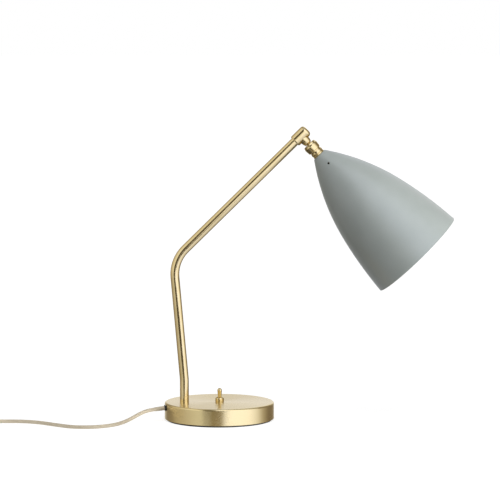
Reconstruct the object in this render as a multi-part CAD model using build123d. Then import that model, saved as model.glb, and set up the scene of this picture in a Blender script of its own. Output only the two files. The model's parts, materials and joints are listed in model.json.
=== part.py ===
from build123d import *

import os
from math import asin, cos, degrees, pi, radians, sin, tan

# Architect desk lamp, in millimetres.
# The origin is the centre of the round base on the table. +Z is up, +X is the side that the arm
# and the shade reach to, and -Y is the front, with the switch lever leaning towards it.

# ---- driving dimensions -------------------------------------------------------------------

# Base
BASE_RADIUS = 77.5
BASE_TOP = 25.6
COVER_BOTTOM = 2.2
COVER_WALL = 1.5
COVER_EDGE_FILLET = 2.4
PAD_RADIUS = 74.5
PAD_THICKNESS = 3.0
PLATE_RADIUS = 75.4
PLATE_THICKNESS = 1.5
WEIGHT_RADIUS = 75.0
PLATE_SCREW_CIRCLE = 55.0
PLATE_SCREW_ANGLES = (30, 150, 270)
PLATE_SCREW_RADIUS = 1.95
PLATE_SCREW_HEAD = 3.4
PLATE_SCREW_TOP = 13.0
NUT_POCKET_RADIUS = 11.5
NUT_POCKET_TOP = 17.5
WIRING_BAY = (-76.0, -10.0, -40.0, -8.5)
SWITCH_POCKET = (-13.0, 12.0, -20.0, 13.0)

# Bent stem
STEM_X = -49.5
TUBE_RADIUS = 6.35
TUBE_BORE = 5.15
LOWER_BEND_Z = 57.0
UPPER_BEND_X = -64.5
UPPER_BEND_Z = 226.1
LOWER_BEND_RADIUS = 60.0
UPPER_BEND_RADIUS = 50.0
ARM_ANGLE = 44.5
ARM_LENGTH = 251.3

# Ball joint at the end of the arm; every distance is along the shade's axis from the arm's axis
CAP_RADIUS = 8.6
CAP_BELOW = 11.5
CAP_ABOVE = 12.9
CAP_END_FILLET = 4.8
CAP_SKIRT_RADIUS = 7.8
CAP_SKIRT_LENGTH = 1.6
TUBE_END_BELOW = 3.4
BALL_AT = 23.0
BALL_RADIUS = 6.0
NECK_RADIUS = 3.0
LEAD_BORE = 2.0
LINER_INNER = 6.06
LINER_OUTER = 6.75
CUP_INNER = 7.05
CUP_OUTER = 7.7
SOCKET_CAVITY = 8.0
NIPPLE_RADIUS = 4.9
NIPPLE_BORE = 3.4

# Shade
SHADE_TOP = 37.3
SHADE_LENGTH = 197.2
SHADE_MOUTH_RADIUS = 72.5
SHADE_MOUTH_ANGLE = 4.33
SHADE_LOWER_ARC = 571.0
SHADE_UPPER_ARC = 309.0
SHADE_ARC_CHANGE = 93.1
SHADE_WALL = 0.8
SHADE_TOP_FILLET = 1.0
SHADE_SCREW_AT = 53.7
SHADE_SCREW_TURN = -3.5
SHADE_SCREW_RADIUS = 1.5
SHADE_SCREW_END = 20.0

# Lampholder and bulb
DOME_TOP = 43.0
DOME_RADIUS = 19.3
DOME_WALL = 1.0
HOLDER_RADIUS = 18.0
HOLDER_TOP = 51.0
HOLDER_BOTTOM = 92.0
SOCKET_FLOOR = 62.0
BULB_CAP_RADIUS = 13.2
BULB_RADIUS = 30.0
BULB_CENTRE_AT = 142.0
BULB_WALL = 0.8
BULB_NECK_RADIUS = 12.6
BULB_NECK_AT = 89.1
BULB_SHOULDER_RADIUS = 19.0
BULB_SHOULDER_AT = 106.0

# Switch
SWITCH_X = 0.5
LEVER_PIVOT_Z = 25.0
LEVER_TILT = 12.0
LEVER_LENGTH = 20.8
BUSHING_RADIUS = 4.0
BUSHING_BORE = 3.2
DRESS_NUT_RADIUS = 6.1
DRESS_NUT_HEIGHT = 6.0
BAT_RADIUS = 3.2

# Wiring in the base
TERMINAL_BLOCK = (-44.0, -22.0, -35.0, -19.0, 6.0, 17.0)
TERMINAL_PLACES = (-39.5, -33.0, -26.5)
TERMINAL_Y = -27.0
LIVE_Y = -23.5
NEUTRAL_Y = -30.5
WIRE_Z = 11.5
LEAD_RADIUS = 1.5
WIRE_RADIUS = 0.9

# Mains cord
CORD_DIAMETER = 5.2
GLAND_AZIMUTH = 13.0
GLAND_PITCH = 6.0
GLAND_Z = 19.1
RELIEF_OUTSIDE = 16.0
RELIEF_INSIDE = 8.0
RELIEF_RADIUS = 3.1
FERRULE_AT = -RELIEF_INSIDE - 4.0
INNER_CORD_END = -RELIEF_INSIDE - 11.0
COIL_TURNS_ACROSS = 4
COIL_TURNS = 7.25
COIL_MIDDLE_RADIUS = 31.2
COIL_CENTRE_X = -361.0
COIL_ENTRY_Y = -34.0
COIL_STUB = 24.0

# Plug
PLUG_RELIEF_LENGTH = 22.0
PLUG_BODY_LENGTH = 34.0
PLUG_HALF_THICKNESS = 7.75
PLUG_HALF_WIDTH = 17.5
PIN_SPACING = 19.0
PIN_RADIUS = 2.0
PIN_LENGTH = 19.0

PLATE_BOTTOM = PAD_THICKNESS
PLATE_TOP = PAD_THICKNESS + PLATE_THICKNESS
COVER_INSIDE = BASE_TOP - COVER_WALL
CORD_RADIUS = CORD_DIAMETER / 2
LAYER_Z = (CORD_RADIUS, CORD_RADIUS + CORD_DIAMETER)
COIL_OUTER_TURN = COIL_MIDDLE_RADIUS + CORD_DIAMETER * (COIL_TURNS_ACROSS - 1) / 2
COIL_INNER_TURN = COIL_MIDDLE_RADIUS - CORD_DIAMETER * (COIL_TURNS_ACROSS - 1) / 2
COIL_CENTRE_Y = COIL_ENTRY_Y + COIL_OUTER_TURN

# The cord's line from the tip of its strain relief to the coil, as points chosen by hand
CORD_ROUTE = [
    (-91.02, -21.01, 17.43),
    (-100.13, -23.11, 16.45),
    (-112.4, -28.8, 11.5),
    (-125.2, -40.4, 5.6),
    (-139.5, -58.5, 2.6),
    (-155.0, -77.5, 2.6),
    (-177.0, -89.6, 2.6),
    (-203.0, -86.0, 2.6),
    (-228.0, -66.0, 2.6),
    (-252.0, -44.5, 2.6),
    (-277.0, -34.2, 2.6),
    (-302.0, -34.6, 2.6),
    (-320.0, -34.0, 2.6),
    (-337.0, -34.0, 2.6),
]

# ---- frames -------------------------------------------------------------------------------

ARM_DIRECTION = Vector(cos(radians(ARM_ANGLE)), 0, sin(radians(ARM_ANGLE)))
SHADE_DIRECTION = Vector(sin(radians(ARM_ANGLE)), 0, -cos(radians(ARM_ANGLE)))
UPPER_BEND = Vector(UPPER_BEND_X, 0, UPPER_BEND_Z)
ARM_END = UPPER_BEND + ARM_DIRECTION * ARM_LENGTH
ARM_FRAME = Plane(origin=ARM_END, x_dir=(0, 1, 0), z_dir=ARM_DIRECTION)
HEAD_FRAME = Plane(origin=ARM_END, x_dir=(0, 1, 0), z_dir=SHADE_DIRECTION)
BALL_CENTRE = ARM_END + SHADE_DIRECTION * BALL_AT

GLAND_DIRECTION = Vector(
    -cos(radians(GLAND_PITCH)) * cos(radians(GLAND_AZIMUTH)),
    -cos(radians(GLAND_PITCH)) * sin(radians(GLAND_AZIMUTH)),
    -sin(radians(GLAND_PITCH)),
)
GLAND_POINT = Vector(
    -BASE_RADIUS * cos(radians(GLAND_AZIMUTH)),
    -BASE_RADIUS * sin(radians(GLAND_AZIMUTH)),
    GLAND_Z,
)
GLAND_FRAME = Plane(origin=GLAND_POINT, z_dir=GLAND_DIRECTION)

PLUG_POINT = Vector(COIL_CENTRE_X - COIL_OUTER_TURN, COIL_CENTRE_Y + COIL_STUB, LAYER_Z[1])
PLUG_FRAME = Plane(origin=PLUG_POINT, x_dir=(1, 0, 0), z_dir=(0, 1, 0))


# ---- shared shapes ------------------------------------------------------------------------

def lathe(*outline, rounded=(), corner=0.0):
    """A turned solid about Z from (radius, z) corners; those listed in rounded get a corner radius."""
    corners = [(radius, 0, z) for radius, z in outline]
    face = Face(Wire(Polyline(*corners, close=True).edges()))
    if rounded:
        chosen = [face.vertices().sort_by_distance(corners[place])[0] for place in rounded]
        face = face.fillet_2d(corner, chosen)
    return revolve(face, Axis.Z)


def rod(radius, low, high, x=0.0, y=0.0):
    """A cylinder along Z from z = low to z = high."""
    return Pos(x, y, low) * Cylinder(radius, high - low, align=(Align.CENTER, Align.CENTER, Align.MIN))


def ring(outer, inner, low, high, x=0.0, y=0.0):
    return rod(outer, low, high, x, y) - rod(inner, low - 1, high + 1, x, y)


def block(x_low, x_high, y_low, y_high, z_low, z_high):
    size = Box(x_high - x_low, y_high - y_low, z_high - z_low, align=(Align.MIN, Align.MIN, Align.MIN))
    return Pos(x_low, y_low, z_low) * size


def hexagon(across_flats, bore, low, high, x=0.0, y=0.0):
    """A plain hexagon nut with its axis along Z."""
    outline = RegularPolygon(across_flats / 2, 6, major_radius=False)
    nut = extrude(Pos(x, y, low) * outline, high - low)
    return nut - rod(bore, low - 1, high + 1, x, y)


def swept_round(path, radius):
    """A round bar of the given radius along a wire."""
    start = Plane(origin=path @ 0, z_dir=path % 0)
    return sweep(start * Circle(radius), path=path)


def wire_run(points, bend, radius):
    """A round wire of straight runs joined by arcs of one bend radius."""
    return swept_round(Wire(FilletPolyline(*points, radius=bend).edges()), radius)


def sphere_shell(inner, outer, top_angle, bottom_angle):
    """Part of a hollow ball about the origin, between two polar angles measured from -Z."""
    def at(radius, angle):
        return (radius * sin(radians(angle)), 0, -radius * cos(radians(angle)))

    middle = (top_angle + bottom_angle) / 2
    edges = [
        ThreePointArc(at(inner, top_angle), at(inner, middle), at(inner, bottom_angle)),
        Line(at(inner, bottom_angle), at(outer, bottom_angle)),
        ThreePointArc(at(outer, bottom_angle), at(outer, middle), at(outer, top_angle)),
        Line(at(outer, top_angle), at(inner, top_angle)),
    ]
    return revolve(make_face(edges), Axis.Z)


def on_head(shape):
    """Place a shape drawn about the shade's axis, with z measured from the arm's axis."""
    return HEAD_FRAME * shape


def across_shade(side, shape):
    """Turn a shape drawn along Z onto the line of a shade screw; side is -90 or 90."""
    return Pos(0, 0, SHADE_SCREW_AT) * Rot(0, 0, SHADE_SCREW_TURN) * Rot(0, side, 0) * shape


# ---- base ---------------------------------------------------------------------------------

def screw_places():
    for angle in PLATE_SCREW_ANGLES:
        yield PLATE_SCREW_CIRCLE * cos(radians(angle)), PLATE_SCREW_CIRCLE * sin(radians(angle))


def gland_bore(radius):
    return GLAND_FRAME * rod(radius, -12, 6)


def base_cover():
    shell = rod(BASE_RADIUS, COVER_BOTTOM, BASE_TOP)
    shell = fillet(shell.edges().group_by(Axis.Z)[-1], COVER_EDGE_FILLET)
    shell = fillet(shell.edges().group_by(Axis.Z)[0], 0.5)
    hollow = rod(BASE_RADIUS - COVER_WALL, COVER_BOTTOM - 1, COVER_INSIDE)
    hollow = fillet(hollow.edges().group_by(Axis.Z)[-1], COVER_EDGE_FILLET - COVER_WALL)
    shell -= hollow
    shell -= rod(NIPPLE_RADIUS + 0.15, BASE_TOP - 5, BASE_TOP + 5, STEM_X)
    shell -= rod(BUSHING_RADIUS + 0.1, BASE_TOP - 5, BASE_TOP + 5, SWITCH_X)
    return shell - gland_bore(3.5)


def base_weight():
    weight = rod(WEIGHT_RADIUS, PLATE_TOP, COVER_INSIDE)
    weight = chamfer(weight.edges().group_by(Axis.Z)[-1], 1.6)
    weight -= rod(NIPPLE_RADIUS + 0.3, 0, 30, STEM_X)
    weight -= rod(NUT_POCKET_RADIUS, 0, NUT_POCKET_TOP, STEM_X)
    weight -= block(*WIRING_BAY, 0, 30)
    weight -= block(*SWITCH_POCKET, 0, 30)
    for x, y in screw_places():
        weight -= rod(PLATE_SCREW_RADIUS + 0.05, 0, PLATE_SCREW_TOP + 1, x, y)
    return weight


def base_plate():
    plate = rod(PLATE_RADIUS, PLATE_BOTTOM, PLATE_TOP)
    for x, y in screw_places():
        plate -= rod(PLATE_SCREW_RADIUS + 0.15, 0, 10, x, y)
        plate -= Pos(x, y, PLATE_BOTTOM) * Cone(
            PLATE_SCREW_HEAD + 0.1, PLATE_SCREW_RADIUS + 0.1, PLATE_THICKNESS,
            align=(Align.CENTER, Align.CENTER, Align.MIN),
        )
    return plate


def base_plate_screws():
    screws = []
    for x, y in screw_places():
        shank = lathe(
            (0, PLATE_BOTTOM + 0.1),
            (PLATE_SCREW_HEAD - 0.2, PLATE_BOTTOM + 0.1),
            (PLATE_SCREW_RADIUS, PLATE_TOP),
            (PLATE_SCREW_RADIUS, PLATE_SCREW_TOP),
            (0, PLATE_SCREW_TOP),
        )
        slot = block(-4, 4, -0.4, 0.4, PLATE_BOTTOM - 1, PLATE_BOTTOM + 0.8)
        screws.append(Pos(x, y, 0) * (shank - slot))
    return Compound(screws)


def base_pad():
    pad = rod(PAD_RADIUS, 0, PAD_THICKNESS)
    return chamfer(pad.edges().group_by(Axis.Z)[0], 0.4)


# ---- stem ---------------------------------------------------------------------------------

def stem_tube():
    foot = Vector(STEM_X, 0, BASE_TOP)
    lower = Vector(STEM_X, 0, LOWER_BEND_Z)
    end = ARM_END - ARM_DIRECTION * TUBE_END_BELOW
    bends = [LOWER_BEND_RADIUS, UPPER_BEND_RADIUS]
    path = Wire(FilletPolyline(foot, lower, UPPER_BEND, end, radius=bends).edges())
    tube = swept_round(path, TUBE_RADIUS) - swept_round(path, TUBE_BORE)
    expected = pi * (TUBE_RADIUS ** 2 - TUBE_BORE ** 2) * path.length
    print("stem_tube volume over section x length:", round(tube.volume / expected, 4))
    return tube


def stem_nipple():
    return ring(NIPPLE_RADIUS, NIPPLE_BORE, 10.5, BASE_TOP + 12, STEM_X)


def stem_washer():
    return ring(10.0, NIPPLE_RADIUS + 0.2, NUT_POCKET_TOP - 1.5, NUT_POCKET_TOP, STEM_X)


def stem_nut():
    return hexagon(16.0, NIPPLE_RADIUS + 0.02, NUT_POCKET_TOP - 6.0, NUT_POCKET_TOP - 1.5, STEM_X)


def stem_lead():
    """The lead from the terminal block up the bent stem and out through the ball."""
    route = [
        (STEM_X, -20.0, 7.6),
        (STEM_X, 0, 7.6),
        (STEM_X, 0, LOWER_BEND_Z),
        UPPER_BEND,
        ARM_END,
        BALL_CENTRE + SHADE_DIRECTION * 3,
    ]
    radii = [5.0, LOWER_BEND_RADIUS, UPPER_BEND_RADIUS, 4.0]
    return swept_round(Wire(FilletPolyline(*route, radius=radii).edges()), LEAD_RADIUS)


# ---- ball joint ---------------------------------------------------------------------------

def arm_end_cap():
    cap = rod(CAP_RADIUS, -CAP_BELOW, CAP_ABOVE)
    cap = fillet(cap.edges().group_by(Axis.Z)[-1], CAP_END_FILLET)
    cap -= lathe(
        (CAP_SKIRT_RADIUS, -CAP_BELOW - 1),
        (CAP_SKIRT_RADIUS, -CAP_BELOW),
        (CAP_RADIUS, -CAP_BELOW + CAP_SKIRT_LENGTH),
        (CAP_RADIUS + 2, -CAP_BELOW + CAP_SKIRT_LENGTH),
        (CAP_RADIUS + 2, -CAP_BELOW - 1),
    )
    cap -= rod(TUBE_RADIUS + 0.03, -CAP_BELOW - 1, -TUBE_END_BELOW + 0.1)
    cap -= rod(5.0, -TUBE_END_BELOW - 1, 4.5)
    cap = ARM_FRAME * cap
    return cap - on_head(rod(NECK_RADIUS + 0.03, 0, 12))


def ball_stud():
    shank = lathe(
        (LEAD_BORE, 4.6),
        (NECK_RADIUS, 4.6),
        (NECK_RADIUS, 5.0),
        (7.1, 5.0),
        (7.0, 8.6),
        (6.7, 11.0),
        (6.2, 12.8),
        (5.5, 14.8),
        (4.6, 15.4),
        (NECK_RADIUS, 15.9),
        (NECK_RADIUS, BALL_AT - 3),
        (LEAD_BORE, BALL_AT - 3),
    )
    ball = Pos(0, 0, BALL_AT) * Sphere(BALL_RADIUS)
    stud = on_head(shank + ball - rod(LEAD_BORE, 0, 40))
    saddle = ARM_FRAME * rod(CAP_RADIUS + 0.02, -40, 40)
    tail = on_head(ring(NECK_RADIUS, LEAD_BORE, 4.6, 9.0))
    return stud - saddle + tail


def ball_liner():
    return on_head(Pos(0, 0, BALL_AT) * sphere_shell(LINER_INNER, LINER_OUTER, 36, 152))


def pressure_cup():
    return on_head(Pos(0, 0, BALL_AT) * sphere_shell(CUP_INNER, CUP_OUTER, 51, 150))


def joint_socket():
    outside = lathe(
        (0, 16.4),
        (9.4, 16.4),
        (9.7, 18.3),
        (10.5, 20.2),
        (10.2, 24.0),
        (9.8, 27.7),
        (8.9, 28.5),
        (0, 28.5),
        rounded=(1, 2, 3, 4, 5),
        corner=0.5,
    )
    mouth = Pos(0, 0, 16.0) * Cone(9.0, 5.6, 3.2, align=(Align.CENTER, Align.CENTER, Align.MIN))
    cavity = Pos(0, 0, BALL_AT) * Sphere(SOCKET_CAVITY)
    body = outside - cavity - mouth - rod(SOCKET_CAVITY, BALL_AT, 40)
    return on_head(body)


def joint_lock_ring():
    body = lathe(
        (7.25, 26.6),
        (SOCKET_CAVITY - 0.05, 26.6),
        (SOCKET_CAVITY - 0.05, 28.6),
        (8.2, 28.6),
        (8.2, 29.9),
        (8.6, 30.2),
        (9.2, 32.3),
        (9.0, 33.6),
        (8.6, 34.1),
        (8.5, 34.7),
        (NIPPLE_RADIUS + 0.03, 34.7),
        (NIPPLE_RADIUS + 0.03, 32.0),
        (7.25, 32.0),
    )
    return on_head(body)


def joint_spring_washer():
    return on_head(lathe((4.2, 30.0), (7.0, 31.3), (7.0, 31.9), (4.2, 30.6)))


def shade_collar():
    body = lathe(
        (NIPPLE_RADIUS + 0.03, 34.8),
        (8.6, 34.8),
        (9.1, 35.3),
        (9.1, 36.4),
        (8.8, 36.8),
        (8.5, SHADE_TOP),
        (NIPPLE_RADIUS + 0.03, SHADE_TOP),
    )
    return on_head(body)


def shade_nipple():
    return on_head(ring(NIPPLE_RADIUS, NIPPLE_BORE, 32.1, 50.0))


# ---- shade --------------------------------------------------------------------------------

def shade_point(inset, arc, angle):
    """A point of the shade's outline, moved in by inset; angle is the wall's slope in degrees."""
    mouth_slope = radians(SHADE_MOUTH_ANGLE)
    change_slope = asin(sin(mouth_slope) + SHADE_ARC_CHANGE / SHADE_LOWER_ARC)
    lower_radius = SHADE_MOUTH_RADIUS - SHADE_LOWER_ARC * cos(mouth_slope)
    lower_rise = -SHADE_LOWER_ARC * sin(mouth_slope)
    step = SHADE_LOWER_ARC - SHADE_UPPER_ARC
    upper_radius = lower_radius + step * cos(change_slope)
    upper_rise = lower_rise + step * sin(change_slope)
    centre_radius = upper_radius if arc == "upper" else lower_radius
    centre_rise = upper_rise if arc == "upper" else lower_rise
    size = (SHADE_UPPER_ARC if arc == "upper" else SHADE_LOWER_ARC) - inset
    radius = centre_radius + size * cos(radians(angle))
    rise = centre_rise + size * sin(radians(angle))
    return (radius, 0, SHADE_TOP + SHADE_LENGTH - rise)


def shade_slopes(inset, top_rise):
    """The wall's slope at the mouth, where the two arcs meet, and at top_rise above the mouth."""
    change = degrees(asin(sin(radians(SHADE_MOUTH_ANGLE)) + SHADE_ARC_CHANGE / SHADE_LOWER_ARC))
    centre_z = shade_point(SHADE_UPPER_ARC, "upper", 0)[2]
    rise_from_centre = top_rise - (SHADE_TOP + SHADE_LENGTH - centre_z)
    top = degrees(asin(rise_from_centre / (SHADE_UPPER_ARC - inset)))
    return SHADE_MOUTH_ANGLE, change, top


def shade_arcs(inset, top_rise):
    """The outline from mouth to top as two tangent arcs."""
    mouth, change, top = shade_slopes(inset, top_rise)
    lower = ThreePointArc(
        shade_point(inset, "lower", mouth),
        shade_point(inset, "lower", (mouth + change) / 2),
        shade_point(inset, "lower", change),
    )
    upper = ThreePointArc(
        shade_point(inset, "upper", change),
        shade_point(inset, "upper", (change + top) / 2),
        shade_point(inset, "upper", top),
    )
    return lower, upper


def shade():
    hole = NIPPLE_RADIUS + 0.3
    outer = shade_arcs(0, SHADE_LENGTH)
    inner = shade_arcs(SHADE_WALL, SHADE_LENGTH - SHADE_WALL)
    inside_top = SHADE_TOP + SHADE_WALL
    edges = [
        *outer,
        Line(outer[1] @ 1, (hole, 0, SHADE_TOP)),
        Line((hole, 0, SHADE_TOP), (hole, 0, inside_top)),
        Line((hole, 0, inside_top), inner[1] @ 1),
        *inner,
        Line(inner[0] @ 0, outer[0] @ 0),
    ]
    body = revolve(make_face(edges), Axis.Z)
    top_corner = body.edges().filter_by(GeomType.CIRCLE).group_by(Axis.Z)[0].sort_by(SortBy.RADIUS)[-1]
    body = fillet(top_corner, SHADE_TOP_FILLET)
    for side in (-90, 90):
        body -= across_shade(side, rod(SHADE_SCREW_RADIUS + 0.1, 15, 30))
    return on_head(body)


def shade_screws():
    """Two grub screws through the shade into the dome, each with a hexagon socket."""
    screws = []
    for side in (-90, 90):
        grub = rod(SHADE_SCREW_RADIUS, DOME_RADIUS - 2.6, SHADE_SCREW_END)
        socket = extrude(Pos(0, 0, SHADE_SCREW_END - 1.6) * RegularPolygon(0.8, 6), 3)
        screws.append(on_head(across_shade(side, grub - socket)))
    return Compound(screws)


def shade_nut():
    top = SHADE_TOP + SHADE_WALL
    return on_head(hexagon(14.0, NIPPLE_RADIUS + 0.02, top, top + 2.4))


# ---- lampholder and bulb ------------------------------------------------------------------


def lampholder_dome():
    body = lathe(
        (NIPPLE_RADIUS + 0.03, DOME_TOP),
        (9.0, DOME_TOP),
        (12.3, DOME_TOP + 1.8),
        (15.3, DOME_TOP + 5.3),
        (17.5, DOME_TOP + 8.6),
        (DOME_RADIUS, DOME_TOP + 12.0),
        (DOME_RADIUS, 62.0),
        (DOME_RADIUS - DOME_WALL, 62.0),
        (DOME_RADIUS - DOME_WALL, DOME_TOP + 12.3),
        (16.5, DOME_TOP + 9.1),
        (14.4, DOME_TOP + 5.9),
        (11.7, DOME_TOP + 2.8),
        (8.7, DOME_TOP + 1.2),
        (NIPPLE_RADIUS + 0.03, DOME_TOP + 1.2),
    )
    for side in (-90, 90):
        body -= across_shade(side, rod(SHADE_SCREW_RADIUS + 0.02, 12, 24))
    return on_head(body)


def dome_nut():
    return on_head(hexagon(13.0, NIPPLE_RADIUS + 0.02, DOME_TOP + 1.3, DOME_TOP + 4.0))


def lampholder_body():
    body = lathe(
        (0, HOLDER_TOP + 4),
        (14.0, HOLDER_TOP + 4),
        (15.8, 57.2),
        (HOLDER_RADIUS, 57.2),
        (HOLDER_RADIUS, 62.3),
        (DOME_RADIUS, 62.3),
        (DOME_RADIUS, 65.0),
        (18.8, 66.0),
        (18.2, HOLDER_BOTTOM - 1.5),
        (17.4, HOLDER_BOTTOM),
        (14.6, HOLDER_BOTTOM),
        (14.6, SOCKET_FLOOR),
        (0, SOCKET_FLOOR),
    )
    for x in (-7.0, 7.0):
        body -= rod(1.3, HOLDER_TOP, SOCKET_FLOOR - 2, x)
    return on_head(body)


def lampholder_screw_shell():
    return on_head(ring(14.4, 13.8, SOCKET_FLOOR + 0.2, HOLDER_BOTTOM - 3))


def lampholder_contact():
    spring = block(-2.0, 2.0, -7.0, 7.0, SOCKET_FLOOR, SOCKET_FLOOR + 0.5)
    return on_head(spring + rod(2.4, SOCKET_FLOOR + 0.4, SOCKET_FLOOR + 1.6))


def lampholder_terminal_screws():
    screws = []
    for x in (-7.0, 7.0):
        head = rod(2.1, HOLDER_TOP + 2.4, HOLDER_TOP + 4.0, x)
        shank = rod(1.2, HOLDER_TOP + 3.8, SOCKET_FLOOR - 3, x)
        slot = block(x - 3, x + 3, -0.3, 0.3, HOLDER_TOP + 2, HOLDER_TOP + 3.0)
        screws.append(on_head(head + shank - slot))
    return Compound(screws)


def head_lead():
    return on_head(rod(LEAD_RADIUS, BALL_AT + SOCKET_CAVITY + 0.6, HOLDER_TOP + 1.5))


def bulb_cap():
    body = lathe(
        (0, SOCKET_FLOOR + 1.7),
        (3.4, SOCKET_FLOOR + 1.7),
        (4.2, SOCKET_FLOOR + 2.6),
        (9.5, SOCKET_FLOOR + 4.6),
        (BULB_CAP_RADIUS, SOCKET_FLOOR + 6.6),
        (BULB_CAP_RADIUS, HOLDER_BOTTOM - 3),
        (0, HOLDER_BOTTOM - 3),
    )
    return on_head(body)


def bulb_outline(inset):
    """The bulb's outline from neck to crown, moved in by inset."""
    globe = BULB_RADIUS - inset

    def on_globe(angle):
        return (globe * cos(radians(angle)), 0, BULB_CENTRE_AT - globe * sin(radians(angle)))

    touch_angle = 38
    neck = (BULB_NECK_RADIUS - inset, 0, BULB_NECK_AT)
    shoulder = (BULB_SHOULDER_RADIUS - inset, 0, BULB_SHOULDER_AT)
    leaving = (0.15, 0, 1)
    arriving = (sin(radians(touch_angle)), 0, cos(radians(touch_angle)))
    return [
        Spline(neck, shoulder, on_globe(touch_angle), tangents=[leaving, arriving]),
        ThreePointArc(on_globe(touch_angle), on_globe(-20), on_globe(-60)),
        ThreePointArc(on_globe(-60), on_globe(-75), (0, 0, BULB_CENTRE_AT + globe)),
    ]


def bulb_glass():
    """A pear-shaped globe, open at the neck where it sits in its cap."""
    outer = bulb_outline(0)
    inner = bulb_outline(BULB_WALL)
    edges = [
        *outer,
        Line(outer[2] @ 1, inner[2] @ 1),
        *inner,
        Line(inner[0] @ 0, outer[0] @ 0),
    ]
    return on_head(revolve(make_face(edges), Axis.Z))


# ---- switch -------------------------------------------------------------------------------

def switch_body():
    body = block(SWITCH_X - 6.6, SWITCH_X + 6.6, -10.0, 10.0, 10.0, 22.0)
    return body - rod(3.4, 17.5, 23, SWITCH_X) - block(SWITCH_X - 3.4, SWITCH_X + 3.4, -4.5, 4.5, 17.5, 21)


def switch_terminals():
    blades = [block(SWITCH_X - 2.4, SWITCH_X + 2.4, y - 0.4, y + 0.4, 6.4, 10.0) for y in (-6.0, 6.0)]
    return Compound(blades)


def switch_bushing():
    return ring(BUSHING_RADIUS, BUSHING_BORE, 22.0, BASE_TOP + 4.2, SWITCH_X)


def switch_inner_nut():
    return hexagon(12.0, BUSHING_RADIUS + 0.02, 22.1, COVER_INSIDE - 0.05, SWITCH_X)


def switch_dress_nut():
    top = BASE_TOP + DRESS_NUT_HEIGHT
    bore = BUSHING_RADIUS + 0.02
    body = lathe(
        (bore, BASE_TOP),
        (DRESS_NUT_RADIUS - 0.3, BASE_TOP),
        (DRESS_NUT_RADIUS, BASE_TOP + 0.4),
        (DRESS_NUT_RADIUS, top - 1.5),
        (DRESS_NUT_RADIUS - 0.5, top - 0.4),
        (DRESS_NUT_RADIUS - 1.1, top),
        (bore + 0.9, top),
        (bore, top - 1.2),
    )
    return Pos(SWITCH_X, 0, 0) * body


def switch_lever():
    tip = LEVER_LENGTH - BAT_RADIUS
    bat = lathe(
        (0, -6.0),
        (1.2, -6.0),
        (1.2, 0),
        (1.8, 1.0),
        (1.9, 5.0),
        (2.4, 7.0),
        (BAT_RADIUS, tip - 1.0),
        (BAT_RADIUS, tip),
        (0, tip),
    )
    lever = bat + Sphere(2.85) + Pos(0, 0, tip) * Sphere(BAT_RADIUS)
    return Pos(SWITCH_X, 0, LEVER_PIVOT_Z) * Rot(LEVER_TILT, 0, 0) * lever


# ---- wiring in the base -------------------------------------------------------------------


def cord_grommet():
    """A bush with a flange on each side of the cover's wall."""
    body = lathe(
        (3.2, -4.0),
        (4.4, -4.0),
        (4.4, -2.4),
        (3.45, -2.4),
        (3.45, 0.55),
        (4.0, 0.55),
        (4.0, 1.5),
        (3.7, 1.9),
        (3.2, 1.9),
    )
    return GLAND_FRAME * body


def cord_strain_relief():
    """A tapered sleeve through the bush, thickest where it meets the wall."""
    sleeve = lathe(
        (CORD_RADIUS + 0.02, -RELIEF_INSIDE),
        (RELIEF_RADIUS, -RELIEF_INSIDE),
        (RELIEF_RADIUS, 2.0),
        (CORD_RADIUS + 0.22, RELIEF_OUTSIDE - 0.3),
        (CORD_RADIUS + 0.02, RELIEF_OUTSIDE),
    )
    return GLAND_FRAME * sleeve


def inner_cord():
    """The sheathed end of the cord inside the strain relief and the base."""
    return GLAND_FRAME * rod(CORD_RADIUS, INNER_CORD_END, RELIEF_OUTSIDE - 0.01)


def cord_ferrule():
    """A ring crimped on the sheath just inside the base, so that the cord can't be pulled out."""
    return GLAND_FRAME * ring(3.3, CORD_RADIUS + 0.02, FERRULE_AT - 2.5, FERRULE_AT + 2.5)


def terminal_block():
    body = block(*TERMINAL_BLOCK)
    for x in TERMINAL_PLACES:
        body -= rod(1.7, 12.0, 18.0, x, TERMINAL_Y)
    return body


def terminal_block_screws():
    return Compound([rod(1.6, 12.0, 15.4, x, TERMINAL_Y) for x in TERMINAL_PLACES])


def cord_wires():
    """The cord's two cores, from the end of its sheath to the terminal block."""
    wires = []
    for offset, y in ((-1.3, LIVE_Y), (1.3, NEUTRAL_Y)):
        start = GLAND_FRAME.from_local_coords(Vector(offset, 0, INNER_CORD_END))
        route = [
            start,
            start - GLAND_DIRECTION * 3.0,
            (-51.0 + offset, -19.0 + offset, 15.0),
            (-49.0 + offset, y, WIRE_Z),
            (TERMINAL_BLOCK[0], y, WIRE_Z),
        ]
        wires.append(wire_run(route, 1.9, WIRE_RADIUS))
    return Compound(wires)


def switch_wires():
    wires = []
    for y, corner_x, turn_y, side_x, blade_y in (
        (LIVE_Y, -13.5, -15.0, -8.5, -6.0),
        (NEUTRAL_Y, -17.0, -11.0, -11.5, 6.0),
    ):
        route = [
            (TERMINAL_BLOCK[1], y, WIRE_Z),
            (corner_x, y, WIRE_Z),
            (corner_x, turn_y, 7.6),
            (side_x, turn_y, 7.6),
            (side_x, blade_y, 7.6),
            (SWITCH_X - 2.4, blade_y, 7.6),
        ]
        wires.append(wire_run(route, 2.0, WIRE_RADIUS))
    return Compound(wires)


# ---- mains cord, coil and plug ------------------------------------------------------------

def turn_between(before, point, after):
    return radians((point - before).get_angle(after - point))


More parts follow.
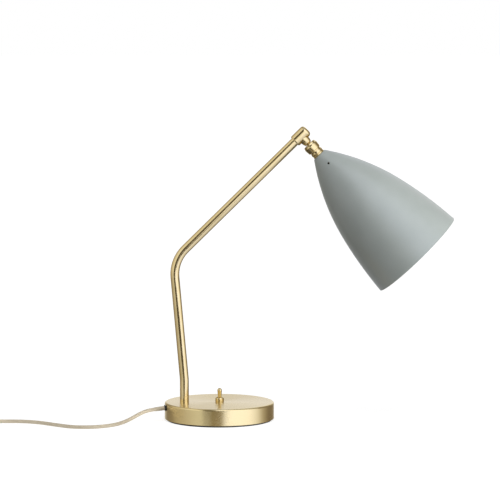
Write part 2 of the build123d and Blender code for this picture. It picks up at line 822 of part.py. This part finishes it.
def mains_cord():
    points = [Vector(*point) for point in CORD_ROUTE]
    radii = []
    for before, point, after in zip(points, points[1:], points[2:]):
        shorter = min((point - before).length, (after - point).length)
        radii.append(0.45 * shorter / tan(turn_between(before, point, after) / 2))
    print("cord bend radii:", [round(radius, 1) for radius in radii])
    path = Wire(FilletPolyline(*points, radius=radii).edges())
    cord = swept_round(path, CORD_RADIUS)
    coil_length = 2 * pi * COIL_MIDDLE_RADIUS * COIL_TURNS
    expected = pi * CORD_RADIUS ** 2 * path.length
    print("cord volume over section x length:", round(cord.volume / expected, 4))
    print("cord length:", round(path.length), "laid out +", round(coil_length), "coiled")
    return cord


def cord_coil():
    """The outer shape of the wound-up length, with a straight stub of cord at each end."""
    outer = COIL_OUTER_TURN + CORD_RADIUS + 0.3
    inner = COIL_INNER_TURN - CORD_RADIUS - 0.3
    body = ring(outer, inner, 0, 2 * CORD_DIAMETER, COIL_CENTRE_X, COIL_CENTRE_Y)
    body = fillet(body.edges().filter_by(GeomType.CIRCLE), 2.2)
    entry = Plane(origin=(COIL_CENTRE_X, COIL_ENTRY_Y, LAYER_Z[0]), z_dir=(1, 0, 0))
    stubs = [entry * rod(CORD_RADIUS, 0, COIL_STUB), PLUG_FRAME * rod(CORD_RADIUS, -COIL_STUB, 0)]
    return body + stubs


def plug_strain_relief():
    body = lathe(
        (0, 0),
        (CORD_RADIUS + 0.3, 0),
        (4.6, PLUG_RELIEF_LENGTH - 3),
        (4.6, PLUG_RELIEF_LENGTH),
        (0, PLUG_RELIEF_LENGTH),
    )
    return PLUG_FRAME * body


def plug_body():
    start = PLUG_RELIEF_LENGTH
    end = PLUG_RELIEF_LENGTH + PLUG_BODY_LENGTH
    right_side = [(6.0, start), (9.5, start + 9), (PLUG_HALF_WIDTH, end - 11), (PLUG_HALF_WIDTH, end)]
    left_side = [(-x, z) for x, z in reversed(right_side)]
    corners = [(x, 0, z) for x, z in right_side + left_side]
    body = extrude(make_face(Polyline(*corners, close=True)), PLUG_HALF_THICKNESS, both=True)
    body = fillet(body.edges().filter_by(Axis.Y), 3.0)
    body = fillet(body.edges().group_by(Axis.Y)[-1], 2.5)
    body = fillet(body.edges().group_by(Axis.Y)[0], 2.5)
    for x in (-PIN_SPACING / 2, PIN_SPACING / 2):
        body -= rod(PIN_RADIUS + 0.02, end - 6, end + 1, x)
    return PLUG_FRAME * body


def plug_pins():
    end = PLUG_RELIEF_LENGTH + PLUG_BODY_LENGTH
    pins = []
    for x in (-PIN_SPACING / 2, PIN_SPACING / 2):
        pin = rod(PIN_RADIUS, end - 5.5, end + PIN_LENGTH, x)
        pins.append(PLUG_FRAME * fillet(pin.edges().group_by(Axis.Z)[-1], 1.2))
    return Compound(pins)


# ---- export -------------------------------------------------------------------------------

SUBPARTS = [
    # the base
    base_cover, base_weight, base_plate, base_plate_screws, base_pad,
    # the stem
    stem_tube, stem_nipple, stem_washer, stem_nut, stem_lead,
    # the ball joint
    arm_end_cap, ball_stud, ball_liner, pressure_cup, joint_socket, joint_lock_ring, joint_spring_washer,
    # the shade
    shade_collar, shade_nipple, shade, shade_screws, shade_nut,
    # the lampholder and the bulb
    lampholder_dome, dome_nut, lampholder_body, lampholder_screw_shell, lampholder_contact,
    lampholder_terminal_screws, head_lead, bulb_cap, bulb_glass,
    # the switch
    switch_body, switch_terminals, switch_bushing, switch_inner_nut, switch_dress_nut, switch_lever,
    # the wiring in the base
    cord_grommet, cord_strain_relief, inner_cord, cord_ferrule,
    terminal_block, terminal_block_screws, cord_wires, switch_wires,
    # the mains cord
    mains_cord, cord_coil, plug_strain_relief, plug_body, plug_pins,
]

os.makedirs("parts", exist_ok=True)
for subpart in SUBPARTS:
    export_step(subpart(), f"parts/{subpart.__name__}.step")
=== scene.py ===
import json
from math import cos, pi, radians, sin

import bpy
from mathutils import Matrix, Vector


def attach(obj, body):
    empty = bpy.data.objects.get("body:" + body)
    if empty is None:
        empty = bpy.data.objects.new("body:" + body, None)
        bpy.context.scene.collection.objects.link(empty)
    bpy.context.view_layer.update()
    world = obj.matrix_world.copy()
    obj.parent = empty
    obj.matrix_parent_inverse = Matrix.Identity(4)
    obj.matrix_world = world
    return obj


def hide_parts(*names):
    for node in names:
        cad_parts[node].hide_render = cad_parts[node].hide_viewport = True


# Looks of the architect desk lamp, in metres, in the same frame as the CAD part: the origin is
# under the middle of the base, +X is the side that the shade reaches to and -Y is the front.

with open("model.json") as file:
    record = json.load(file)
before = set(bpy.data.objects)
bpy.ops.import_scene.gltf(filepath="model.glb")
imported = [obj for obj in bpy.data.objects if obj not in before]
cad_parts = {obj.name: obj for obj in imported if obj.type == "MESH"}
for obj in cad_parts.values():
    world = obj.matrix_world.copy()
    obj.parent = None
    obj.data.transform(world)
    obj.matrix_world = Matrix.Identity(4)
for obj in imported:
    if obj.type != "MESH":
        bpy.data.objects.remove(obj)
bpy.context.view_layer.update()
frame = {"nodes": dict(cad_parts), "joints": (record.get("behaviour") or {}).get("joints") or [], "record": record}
nodes = frame["nodes"]
joints = {joint["name"]: joint for joint in frame["joints"]}
scene = bpy.context.scene

# ---- driving dimensions -------------------------------------------------------------------

# Camera
CAMERA_PLACE = Vector((0.0435, -3.6, 0.56))
CAMERA_AIM = Vector((0.0435, 0.0, 0.2412))
CAMERA_LENS = 184.5
CAMERA_SENSOR = 36.0

# Mains cord
CORD_DIAMETER = 0.0052
CORD_LYING = CORD_DIAMETER / 2
CORD_ON_TOP = CORD_DIAMETER * 1.5

# The coil that holds the length put away: two layers, wound inward below and outward on top
COIL_CENTRE = (-0.361, 0.005)
COIL_TURNS = 7.25
COIL_TURNS_ACROSS = 4
COIL_MIDDLE_RADIUS = 0.0312
COIL_OUTER_RADIUS = COIL_MIDDLE_RADIUS + CORD_DIAMETER * (COIL_TURNS_ACROSS - 1) / 2
COIL_POINTS_PER_TURN = 16
COIL_STUB = 0.024

# The share of each turn after which the cord moves over to the next ring, and how long it takes
COIL_INWARD_MOVE = 0.8
COIL_OUTWARD_MOVE = 0.55
COIL_MOVE_TAKES = 0.2

# The cord's line from its strain relief to the coil
CORD_ROUTE = [
    (-0.09102, -0.02101, 0.01743),
    (-0.10013, -0.02311, 0.01645),
    (-0.1124, -0.0288, 0.0121),
    (-0.1252, -0.0404, 0.0058),
    (-0.1395, -0.0590, 0.0027),
    (-0.155, -0.0770, 0.0026),
    (-0.177, -0.0880, 0.0026),
    (-0.203, -0.0860, 0.0026),
    (-0.228, -0.066, 0.0026),
    (-0.252, -0.0445, 0.0026),
    (-0.277, -0.0342, 0.0026),
    (-0.302, -0.0346, 0.0026),
    (-0.320, -0.034, 0.0026),
    (-0.337, -0.034, 0.0026),
]

# Paint on the two sides of the shade: dark and light of the outside's mottle, and the inside
SHADE_OUTSIDE = ((0.352, 0.391, 0.376), (0.380, 0.419, 0.404))
SHADE_INSIDE = (0.78, 0.77, 0.73)

# Most of a noise texture's values lie between these
NOISE_LOW = 0.3
NOISE_HIGH = 0.7

# Floor, and a glowing sheet just under it: lowest and highest x and y
FLOOR_REACH = (-40.0, 40.0)
CORD_GLOW_X = (-0.46, -0.084)
CORD_GLOW_Y = (-0.16, 0.08)
CORD_GLOW_DEPTH = 0.0005

# What the brass mirrors, round the compass from the front towards the right: degrees, colour
SURROUNDINGS = [
    (-180, (0.86, 0.87, 0.95)),
    (-165, (0.80, 0.78, 0.76)),
    (-150, (0.30, 0.26, 0.20)),
    (-125, (0.36, 0.31, 0.25)),
    (-105, (0.62, 0.57, 0.50)),
    (-75, (0.74, 0.70, 0.66)),
    (-50, (0.92, 0.92, 0.93)),
    (-4, (0.92, 0.92, 0.93)),
    (0, (1.40, 1.44, 1.78)),
    (60, (1.36, 1.40, 1.70)),
    (84, (0.95, 0.95, 1.05)),
    (100, (0.48, 0.43, 0.36)),
    (122, (0.20, 0.16, 0.12)),
    (150, (0.26, 0.22, 0.17)),
    (165, (0.80, 0.78, 0.76)),
    (180, (0.86, 0.87, 0.95)),
]
BRIGHTEST = 1.8

# How the surroundings change with height: they turn towards the left higher up, dim below the
# horizon, most of all on the left, and dim again overhead
TURN_WITH_HEIGHT = 0.6
DIM_BELOW = 0.6
DIM_BELOW_LEFT = 0.9
LEFT_GAIN = 3.0
OVERHEAD = 0.75
DIM_OVERHEAD = 2.0

# Light that matt surfaces get from all round
AMBIENT = 0.14

# Dark cards in front of the lamp, seen only in reflections: colour, and corners as x and z in the
# plane y = CARD_Y. They meet at the height CARD_SPLIT.
CARD_Y = -0.6
CARD_SPLIT = -0.058
CARDS = {
    "card_above": ((0.10, 0.085, 0.065), [
        (-0.36, CARD_SPLIT),
        (-0.60, 1.45),
        (-0.06, 1.45),
        (-0.06, 0.17),
        (0.26, 0.10),
        (0.20, 0.03),
        (0.08, CARD_SPLIT),
    ]),
    "card_below": ((0.40, 0.34, 0.24), [
        (-0.18, CARD_SPLIT),
        (0.085, CARD_SPLIT),
        (0.085, -0.60),
        (-0.18, -0.60),
    ]),
}

# Name, azimuth from the front towards the right, elevation, strength
SUNS = [
    ("right_low", 62, -15, 3.95),
    ("left_low", -100, -40, 1.3),
    ("front_high", -20, 60, 1.0),
    ("right_high", 40, 60, 0.9),
]
SUN_SOFTNESS = 50


# ---- camera -------------------------------------------------------------------------------

def make_camera():
    data = bpy.data.cameras.new("camera")
    data.sensor_width = CAMERA_SENSOR
    data.lens = CAMERA_LENS
    camera = bpy.data.objects.new("camera", data)
    scene.collection.objects.link(camera)
    camera.location = CAMERA_PLACE
    camera.rotation_euler = (CAMERA_AIM - CAMERA_PLACE).to_track_quat("-Z", "Y").to_euler()
    scene.camera = camera


# ---- mains cord ---------------------------------------------------------------------------

def eased(share):
    """0 up to 1 with a soft start and end, and held there outside that range."""
    share = min(max(share, 0.0), 1.0)
    return share * share * (3 - 2 * share)


def coil_ring(turns):
    """How many rings in from the outermost the cord lies, and its layer, after so many turns."""
    innermost = COIL_TURNS_ACROSS - 1
    moving_in = eased((turns % 1 - COIL_INWARD_MOVE) / COIL_MOVE_TAKES)
    if turns < innermost:
        return int(turns) + moving_in, 0.0
    if turns < innermost + 1:
        return innermost, moving_in
    outward = turns - (innermost + 1)
    moved_out = int(outward) + eased((outward % 1 - COIL_OUTWARD_MOVE) / COIL_MOVE_TAKES)
    return innermost - min(moved_out, innermost), 1.0


def coil_points():
    """The coil's turns, clockwise from the front, where the route comes in.

    The spline runs inside its control points, so they lie a little outside each ring.
    """
    inside_share = cos(pi / COIL_POINTS_PER_TURN)
    points = []
    for step in range(1, int(COIL_TURNS * COIL_POINTS_PER_TURN) + 1):
        turns = step / COIL_POINTS_PER_TURN
        ring, layer = coil_ring(turns)
        radius = (COIL_OUTER_RADIUS - CORD_DIAMETER * ring) / inside_share
        angle = -pi / 2 - 2 * pi * turns
        points.append((
            COIL_CENTRE[0] + radius * cos(angle),
            COIL_CENTRE[1] + radius * sin(angle),
            CORD_LYING + CORD_DIAMETER * layer,
        ))
    return points


def nurbs_cord(name, points, diameter):
    """A smooth round cord with the points as its control points."""
    data = bpy.data.curves.new(name, "CURVE")
    data.dimensions = "3D"
    spline = data.splines.new("NURBS")
    spline.points.add(len(points) - 1)
    for control, point in zip(spline.points, points):
        control.co = (*point, 1.0)
        control.radius = diameter / 2
    spline.order_u = 3
    spline.use_endpoint_u = True
    spline.resolution_u = 8
    data.bevel_depth = 1.0
    data.bevel_resolution = 5
    data.use_fill_caps = True
    cord = bpy.data.objects.new(name, data)
    scene.collection.objects.link(cord)
    return cord


def make_cord():
    """The whole cord: the laid-out route, the coil, and a straight stub into the plug's sleeve."""
    coil_entry = (COIL_CENTRE[0], COIL_CENTRE[1] - COIL_OUTER_RADIUS, CORD_LYING)
    coil_left = COIL_CENTRE[0] - COIL_OUTER_RADIUS
    stub = [
        (coil_left, COIL_CENTRE[1] + COIL_STUB / 2, CORD_ON_TOP),
        (coil_left, COIL_CENTRE[1] + COIL_STUB, CORD_ON_TOP),
    ]
    points = CORD_ROUTE + [coil_entry] + coil_points() + stub
    cord = nurbs_cord("mains_cord_line", points, CORD_DIAMETER)
    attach(cord, "stand")
    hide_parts("mains_cord", "cord_coil")
    return cord


# ---- materials ----------------------------------------------------------------------------

class Finish:
    """A short way to build one material's node tree."""

    def __init__(self, name):
        self.material = bpy.data.materials.new(name)
        self.material.use_nodes = True
        self.tree = self.material.node_tree
        self.tree.nodes.clear()
        self.shader = self.add("ShaderNodeBsdfPrincipled")
        output = self.add("ShaderNodeOutputMaterial")
        self.link(self.shader, "BSDF", output, "Surface")
        self.place = self.add("ShaderNodeTexCoord")

    def add(self, kind, **settings):
        node = self.tree.nodes.new(kind)
        for key, value in settings.items():
            setattr(node, key, value)
        return node

    def link(self, source, out, target, into):
        self.tree.links.new(source.outputs[out], target.inputs[into])

    def set(self, **values):
        """Values that are the same all over, straight on the shader's sockets."""
        for key, value in values.items():
            self.shader.inputs[key.replace("_", " ")].default_value = value

    def noise_over(self, source, out, scale, detail):
        noise = self.add("ShaderNodeTexNoise")
        noise.inputs["Scale"].default_value = scale
        noise.inputs["Detail"].default_value = detail
        self.link(source, out, noise, "Vector")
        return noise

    def noise(self, scale, detail=3.0):
        """Noise through the whole piece."""
        return self.noise_over(self.place, "Object", scale, detail)

    def spread(self, source, out, low, high, low_value, high_value):
        """Map source's range low..high to low_value..high_value."""
        spread = self.add("ShaderNodeMapRange")
        spread.inputs["From Min"].default_value = low
        spread.inputs["From Max"].default_value = high
        spread.inputs["To Min"].default_value = low_value
        spread.inputs["To Max"].default_value = high_value
        self.link(source, out, spread, "Value")
        return spread

    def roughness(self, noise, smooth, rough, high=NOISE_HIGH):
        """The roughness, from smooth to rough with the noise."""
        spread = self.spread(noise, "Fac", NOISE_LOW, high, smooth, rough)
        self.link(spread, "Result", self.shader, "Roughness")

    def tint(self, noise, dark, light):
        """The base colour, from dark to light with the noise."""
        colours = self.add("ShaderNodeValToRGB")
        low, high = colours.color_ramp.elements
        low.position = NOISE_LOW
        low.color = (*dark, 1)
        high.position = NOISE_HIGH
        high.color = (*light, 1)
        self.link(noise, "Fac", colours, "Fac")
        self.link(colours, "Color", self.shader, "Base Color")
        return colours

    def bump(self, noise, strength, height):
        bump = self.add("ShaderNodeBump")
        bump.inputs["Strength"].default_value = strength
        bump.inputs["Distance"].default_value = height
        self.link(noise, "Fac", bump, "Height")
        self.link(bump, "Normal", self.shader, "Normal")


def turned_lines(made):
    """Noise that depends only on the distance from the base's axis and the height."""
    split = made.add("ShaderNodeSeparateXYZ")
    made.link(made.place, "Object", split, "Vector")
    flat = made.add("ShaderNodeCombineXYZ")
    made.link(split, "X", flat, "X")
    made.link(split, "Y", flat, "Y")
    radius = made.add("ShaderNodeVectorMath", operation="LENGTH")
    made.link(flat, "Vector", radius, "Vector")
    lines_at = made.add("ShaderNodeCombineXYZ")
    made.link(radius, "Value", lines_at, "X")
    made.link(split, "Z", lines_at, "Y")
    return made.noise_over(lines_at, "Vector", scale=2600.0, detail=2.0)


def satin_brass():
    """Lacquered brass turned with fine lines round the base."""
    made = Finish("satin_brass_turned")
    made.set(Metallic=1.0, Anisotropic=0.5, Anisotropic_Rotation=0.25)
    spin = made.add("ShaderNodeTangent", direction_type="RADIAL", axis="Z")
    made.link(spin, "Tangent", made.shader, "Tangent")
    made.bump(turned_lines(made), strength=0.12, height=0.00008)
    clouds = made.noise(22.0, detail=4.0)
    made.tint(clouds, (0.84, 0.69, 0.35), (0.90, 0.75, 0.40))
    made.roughness(clouds, 0.23, 0.29)
    return made.material


def polished_brass():
    """Lacquered brass, polished, with faint smudges."""
    made = Finish("polished_brass_lacquered")
    made.set(Metallic=1.0)
    made.tint(made.noise(60.0, detail=5.0), (0.76, 0.61, 0.30), (0.84, 0.69, 0.37))
    made.roughness(made.noise(240.0, detail=4.0), 0.11, 0.18, high=0.75)
    made.bump(made.noise(3200.0, detail=2.0), strength=0.05, height=0.00005)
    return made.material


def raw_brass():
    made = Finish("raw_brass")
    made.set(Metallic=1.0)
    clouds = made.noise(180.0, detail=5.0)
    made.tint(clouds, (0.42, 0.30, 0.13), (0.68, 0.51, 0.26))
    made.roughness(clouds, 0.28, 0.42)
    made.bump(made.noise(2000.0), strength=0.1, height=0.00008)
    return made.material


def bearing_bronze():
    made = Finish("bearing_bronze_sintered")
    made.set(Metallic=1.0, Roughness=0.45)
    grains = made.noise(900.0, detail=4.0)
    made.tint(grains, (0.30, 0.19, 0.10), (0.52, 0.36, 0.22))
    made.bump(grains, strength=0.2, height=0.0001)
    return made.material


def inside_mask(made):
    """1 on the faces that look towards the shade's axis, 0 on the outer face and the rim."""
    from_joint = made.add("ShaderNodeVectorMath", operation="SUBTRACT")
    made.link(made.place, "Object", from_joint, 0)
    from_joint.inputs[1].default_value = joints["shade_spin"]["pos_m"]
    along = made.add("ShaderNodeVectorMath", operation="PROJECT")
    made.link(from_joint, "Vector", along, 0)
    along.inputs[1].default_value = joints["shade_spin"]["axis"]
    outward = made.add("ShaderNodeVectorMath", operation="SUBTRACT")
    made.link(from_joint, "Vector", outward, 0)
    made.link(along, "Vector", outward, 1)
    unit = made.add("ShaderNodeVectorMath", operation="NORMALIZE")
    made.link(outward, "Vector", unit, 0)
    facing = made.add("ShaderNodeVectorMath", operation="DOT_PRODUCT")
    made.link(unit, "Vector", facing, 0)
    made.link(made.place, "Normal", facing, 1)
    return made.spread(facing, "Value", low=-0.25, high=-0.35, low_value=0.0, high_value=1.0)


def grey_paint():
    """Grey-green powder coat outside and warm white paint inside."""
    made = Finish("shade_powder_coat")
    made.set(Coat_Weight=0.55, Coat_Roughness=0.32)
    mottle = made.noise(35.0, detail=4.0)
    outside = made.tint(mottle, *SHADE_OUTSIDE)
    sides = made.add("ShaderNodeMix", data_type="RGBA")
    made.link(inside_mask(made), "Result", sides, "Factor")
    made.link(outside, "Color", sides, "A")
    sides.inputs["B"].default_value = (*SHADE_INSIDE, 1)
    made.link(sides, "Result", made.shader, "Base Color")
    made.roughness(mottle, 0.40, 0.46)
    made.bump(made.noise(1500.0, detail=2.0), strength=0.12, height=0.0001)
    return made.material


def cast_iron():
    made = Finish("cast_iron_rough")
    made.set(Metallic=0.8, Roughness=0.7)
    grains = made.noise(400.0, detail=6.0)
    made.tint(grains, (0.05, 0.05, 0.055), (0.14, 0.14, 0.14))
    made.bump(grains, strength=0.5, height=0.0004)
    return made.material


def plated_metal(name):
    made = Finish(name)
    made.set(Metallic=1.0)
    clouds = made.noise(120.0, detail=4.0)
    made.tint(clouds, (0.42, 0.43, 0.44), (0.62, 0.62, 0.62))
    made.roughness(clouds, 0.25, 0.4)
    made.bump(made.noise(1800.0), strength=0.08, height=0.0001)
    return made.material


def zinc_steel():
    return plated_metal("zinc_plated_steel")


def bulb_cap_metal():
    return plated_metal("bulb_cap_plated")


def blackened_steel():
    made = Finish("blackened_steel_oiled")
    made.set(Metallic=0.6)
    clouds = made.noise(500.0, detail=4.0)
    made.tint(clouds, (0.006, 0.006, 0.007), (0.02, 0.02, 0.02))
    made.roughness(clouds, 0.4, 0.55)
    made.bump(made.noise(1800.0), strength=0.1, height=0.0001)
    return made.material


def plastic(name, dark, light, smooth, rough, grain=1400.0, strength=0.1):
    """Moulded plastic or rubber with a fine grain."""
    made = Finish(name)
    clouds = made.noise(90.0, detail=4.0)
    made.tint(clouds, dark, light)
    made.roughness(clouds, smooth, rough)
    made.bump(made.noise(grain), strength=strength, height=0.00012)
    return made.material


def white_nylon():
    return plastic("white_nylon_moulded", (0.72, 0.71, 0.67), (0.80, 0.79, 0.76), 0.4, 0.5)


def black_rubber():
    return plastic(
        "black_rubber_matt", (0.012, 0.012, 0.012), (0.03, 0.03, 0.03), 0.6, 0.75,
        grain=900.0, strength=0.3,
    )


def black_bakelite():
    return plastic(
        "black_bakelite_moulded", (0.012, 0.011, 0.01), (0.022, 0.02, 0.018), 0.2, 0.3,
    )


def cream_cord():
    return plastic("cream_cord_sheath", (0.55, 0.47, 0.345), (0.63, 0.55, 0.41), 0.42, 0.55)


def core_insulation():
    return plastic("core_insulation_pvc", (0.13, 0.055, 0.025), (0.18, 0.08, 0.035), 0.35, 0.45)


def opal_glass():
    made = Finish("opal_bulb_glass")
    made.set(Coat_Weight=0.6, Coat_Roughness=0.05, Roughness=0.25)
    made.tint(made.noise(40.0), (0.84, 0.83, 0.79), (0.90, 0.89, 0.86))
    made.bump(made.noise(300.0, detail=2.0), strength=0.04, height=0.0001)
    return made.material


FINISHES = {
    "satin_brass": satin_brass,
    "polished_brass": polished_brass,
    "raw_brass": raw_brass,
    "bearing_bronze": bearing_bronze,
    "grey_paint": grey_paint,
    "cast_iron": cast_iron,
    "zinc_steel": zinc_steel,
    "white_nylon": white_nylon,
    "black_rubber": black_rubber,
    "black_bakelite": black_bakelite,
    "cream_cord": cream_cord,
    "core_insulation": core_insulation,
    "blackened_steel": blackened_steel,
    "bulb_cap_metal": bulb_cap_metal,
    "opal_glass": opal_glass,
}


def dress(cord):
    """Give each CAD node its slot's finish, and the cord its own."""
    finishes = {slot: make() for slot, make in FINISHES.items()}
    for entry in frame["record"]["subparts"]:
        materials = nodes[entry["node"]].data.materials
        materials.clear()
        materials.append(finishes[entry["material_slot"]])
    cord.data.materials.append(finishes["cream_cord"])


# ---- floor and cards ----------------------------------------------------------------------

def glowing(name, base, glow):
    """A matt material that gives off a little light of its own."""
    material = bpy.data.materials.new(name)
    material.use_nodes = True
    shader = material.node_tree.nodes["Principled BSDF"]
    shader.inputs["Base Color"].default_value = (*base, 1)
    shader.inputs["Roughness"].default_value = 0.9
    shader.inputs["Specular IOR Level"].default_value = 0.0
    shader.inputs["Emission Color"].default_value = (*glow, 1)
    shader.inputs["Emission Strength"].default_value = 1.0
    return material


def flat_sheet(name, corners, base, glow):
    mesh = bpy.data.meshes.new(name)
    mesh.from_pydata(corners, [], [tuple(range(len(corners)))])
    mesh.materials.append(glowing(name, base, glow))
    sheet = bpy.data.objects.new(name, mesh)
    scene.collection.objects.link(sheet)
    return sheet


def level_rectangle(x_range, y_range, height):
    (left, right), (front, back) = x_range, y_range
    outline = [(left, front), (right, front), (right, back), (left, back)]
    return [(x, y, height) for x, y in outline]


def make_floor():
    """White paper that the camera sees, with no say in the light on the lamp."""
    corners = level_rectangle(FLOOR_REACH, FLOOR_REACH, 0.0)
    floor = flat_sheet("floor", corners, base=(0.4, 0.4, 0.4), glow=(0.8, 0.8, 0.8))
    floor.visible_glossy = False
    floor.visible_diffuse = False
    floor.visible_shadow = False


def make_cards():
    for name, (glow, outline) in CARDS.items():
        corners = [(x, CARD_Y, z) for x, z in outline]
        card = flat_sheet(name, corners, base=(0.0, 0.0, 0.0), glow=glow)
        card.visible_camera = False
        card.visible_diffuse = False
        card.visible_shadow = False


def make_cord_glow():
    """The white table's glow round the cord, which also keeps the low suns off it."""
    corners = level_rectangle(CORD_GLOW_X, CORD_GLOW_Y, -CORD_GLOW_DEPTH)
    sheet = flat_sheet("cord_glow", corners, base=(0.0, 0.0, 0.0), glow=(1.0, 1.0, 1.0))
    sheet.visible_camera = False
    sheet.visible_glossy = False


# ---- surroundings and suns ----------------------------------------------------------------

class World:
    """A short way to build the world's node tree."""

    def __init__(self, name):
        scene.world = bpy.data.worlds.new(name)
        scene.world.use_nodes = True
        self.tree = scene.world.node_tree
        self.tree.nodes.clear()
        self.ray = self.add("ShaderNodeLightPath")
        place = self.add("ShaderNodeTexCoord")
        self.direction = self.add("ShaderNodeSeparateXYZ")
        self.link((place, "Generated"), self.direction, 0)

    def add(self, kind):
        return self.tree.nodes.new(kind)

    def link(self, source, target, into):
        """Source is a (node, output) pair."""
        node, out = source
        self.tree.links.new(node.outputs[out], target.inputs[into])

    def math(self, operation, *values, clamp=False):
        """A math node; each value is a number or a (node, output) pair."""
        node = self.add("ShaderNodeMath")
        node.operation = operation
        node.use_clamp = clamp
        for place, value in enumerate(values):
            if isinstance(value, tuple):
                self.link(value, node, place)
            else:
                node.inputs[place].default_value = value
        return node, 0

    def background(self, strength, colour=None):
        node = self.add("ShaderNodeBackground")
        node.inputs["Strength"].default_value = strength
        if colour:
            self.link(colour, node, "Color")
        else:
            node.inputs["Color"].default_value = (1.0, 1.0, 1.0, 1.0)
        return node

    def choose(self, flag, otherwise, then):
        mix = self.add("ShaderNodeMixShader")
        self.link((self.ray, flag), mix, 0)
        self.link((otherwise, 0), mix, 1)
        self.link((then, 0), mix, 2)
        return mix


def compass_colours(world):
    """The surroundings' colours by azimuth, as shares of the brightest."""
    front = world.math("MULTIPLY", (world.direction, "Y"), -1.0)
    azimuth = world.math("ARCTAN2", (world.direction, "X"), front)
    turned = world.math("MULTIPLY_ADD", (world.direction, "Z"), TURN_WITH_HEIGHT, azimuth)
    share = world.math("MULTIPLY_ADD", turned, 1 / (2 * pi), 0.5)
    ramp = world.add("ShaderNodeValToRGB")
    world.link(share, ramp, "Fac")
    stops = ramp.color_ramp.elements
    stops.remove(stops[-1])
    for place, (angle, colour) in enumerate(SURROUNDINGS):
        position = (angle + 180) / 360
        stop = stops.new(position) if place else stops[0]
        stop.position = position
        stop.color = (*(part / BRIGHTEST for part in colour), 1)
    return ramp, "Color"


def compass_level(world):
    """How bright the surroundings are by height, and below the horizon on the left."""
    up = (world.direction, "Z")
    below = world.math("MULTIPLY_ADD", world.math("MINIMUM", up, 0.0), DIM_BELOW, 1.0)
    overhead = world.math("MAXIMUM", up, OVERHEAD)
    above = world.math("MULTIPLY_ADD", overhead, -DIM_OVERHEAD, 1 + DIM_OVERHEAD * OVERHEAD)
    leftward = world.math("MULTIPLY", (world.direction, "X"), -LEFT_GAIN, clamp=True)
    downward = world.math("MULTIPLY", up, -1.0, clamp=True)
    below_left = world.math("MULTIPLY", leftward, downward)
    beside = world.math("MULTIPLY_ADD", below_left, -DIM_BELOW_LEFT, 1.0)
    by_height = world.math("MULTIPLY", below, above)
    return world.math("MULTIPLY", by_height, world.math("MULTIPLY", beside, BRIGHTEST))


def make_world():
    """White behind, dim for matt surfaces, and bright and dark sides for shiny ones to mirror."""
    world = World("studio")
    shiny = world.background(1.0, compass_colours(world))
    world.link(compass_level(world), shiny, "Strength")
    matt = world.background(AMBIENT)
    white = world.background(1.0)
    lit = world.choose("Is Glossy Ray", matt, shiny)
    output = world.add("ShaderNodeOutputWorld")
    world.link((world.choose("Is Camera Ray", lit, white), 0), output, "Surface")


def direction(azimuth, elevation):
    """The unit vector at these degrees, azimuth from the front towards the right."""
    turn, rise = radians(azimuth), radians(elevation)
    return Vector((cos(rise) * sin(turn), -cos(rise) * cos(turn), sin(rise)))


def make_suns():
    """Broad soft lights for the paint, the cord and the floor. The brass does not mirror them."""
    for name, azimuth, elevation, strength in SUNS:
        data = bpy.data.lights.new(name, "SUN")
        data.energy = strength
        data.angle = radians(SUN_SOFTNESS)
        sun = bpy.data.objects.new(name, data)
        scene.collection.objects.link(sun)
        sun.rotation_euler = direction(azimuth, elevation).to_track_quat("Z", "Y").to_euler()
        sun.visible_glossy = False


# ---- the whole scene ----------------------------------------------------------------------

make_camera()
cord = make_cord()
dress(cord)
make_floor()
make_cards()
make_cord_glow()
make_world()
make_suns()
scene.view_settings.view_transform = "Standard"
